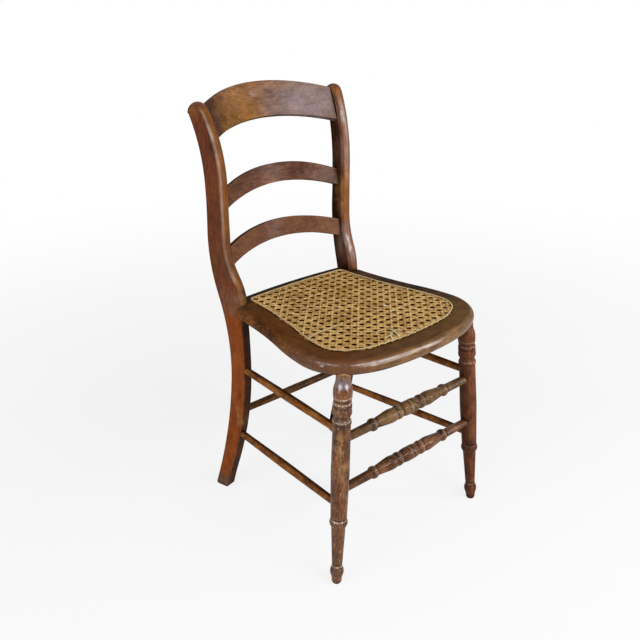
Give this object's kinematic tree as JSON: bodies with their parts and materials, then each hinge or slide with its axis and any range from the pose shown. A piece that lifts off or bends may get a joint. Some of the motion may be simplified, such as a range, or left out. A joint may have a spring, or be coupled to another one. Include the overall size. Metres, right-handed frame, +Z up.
{
  "type": "ladderback side chair",
  "caption": "Ladderback side chair with a bent crest rail, arched slats, turned front legs and stretchers, and a caned seat panel.",
  "frame": {"origin": "centre of the bounding box footprint, on the floor", "axes": "+X to the right as seen from the front, +Y from the front of the seat to the back, +Z up"},
  "size_m": [0.4172, 0.5016, 0.8407],
  "materials": {
    "back_wood": "worn dark varnish",
    "post_wood": "worn reddish varnish",
    "leg_wood": "worn varnish",
    "seat_wood": "dark polished varnish",
    "stretcher_wood": "worn golden varnish",
    "hidden_wood": "bare wood",
    "cane": "natural cane",
    "lining": "dark cloth"
  },
  "bodies": {
    "root": {"crest_rail": "back_wood", "upper_slat": "back_wood", "lower_slat": "back_wood", "left_back_post": "post_wood", "right_back_post": "post_wood", "left_front_leg": "leg_wood", "right_front_leg": "leg_wood", "seat_front_rail": "seat_wood", "seat_left_rail": "seat_wood", "seat_right_rail": "seat_wood", "seat_back_rail": "seat_wood", "seat_frame_dowels": "hidden_wood", "upper_front_stretcher": "stretcher_wood", "lower_front_stretcher": "stretcher_wood", "left_upper_stretcher": "stretcher_wood", "left_lower_stretcher": "stretcher_wood", "right_upper_stretcher": "stretcher_wood", "right_lower_stretcher": "stretcher_wood", "rear_stretcher": "stretcher_wood", "cane_weave": "cane", "cane_binder": "cane", "seat_lining": "lining"}
  },
  "joints": []
}
